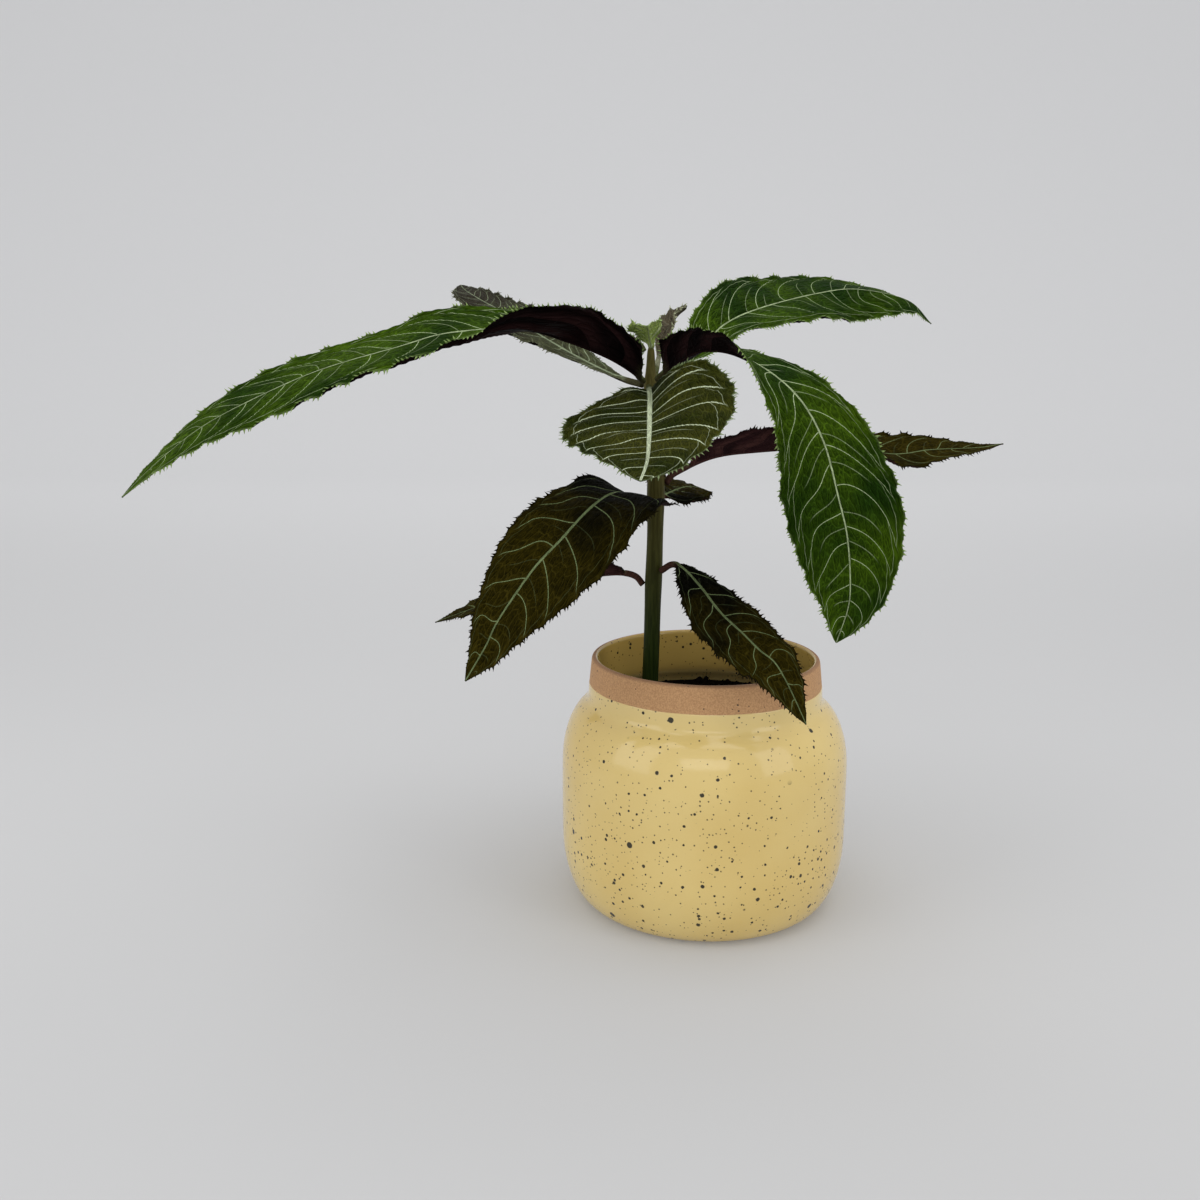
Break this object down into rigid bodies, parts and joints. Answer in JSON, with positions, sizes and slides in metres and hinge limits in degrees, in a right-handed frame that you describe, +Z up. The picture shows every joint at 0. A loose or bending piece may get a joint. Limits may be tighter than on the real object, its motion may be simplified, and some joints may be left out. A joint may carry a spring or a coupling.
{
  "type": "potted labisia",
  "caption": "Upright foliage plant with long, arching, toothed leaves and pale veins, growing in soil in a rounded, speckled, glazed stoneware pot with a bare clay rim.",
  "frame": {"origin": "centre of the pot's flat underside", "axes": "+Z up; +X to the right and -Y to the viewer, seen from the side that the broad leaf leans to"},
  "size_m": [0.4221, 0.311, 0.3228],
  "materials": {
    "glazed_stoneware": "gloss",
    "soil": "matte",
    "green_stem": "satin",
    "green_leaf": "satin",
    "dark_leaf": "satin",
    "young_leaf": "satin"
  },
  "bodies": {
    "root": {"pot": "glazed_stoneware", "potting_soil": "soil", "stem": "green_stem", "leaf_left": "green_leaf", "leaf_front": "green_leaf", "leaf_right_front": "green_leaf", "leaf_upper_right": "green_leaf", "leaf_back_left": "green_leaf", "leaf_mid_right": "dark_leaf", "leaf_mid_back": "dark_leaf", "leaf_mid_left": "dark_leaf", "leaf_low_left": "dark_leaf", "leaf_low_right": "dark_leaf", "young_leaf_back": "young_leaf", "young_leaf_front": "young_leaf", "young_leaf_left": "young_leaf"}
  },
  "joints": []
}
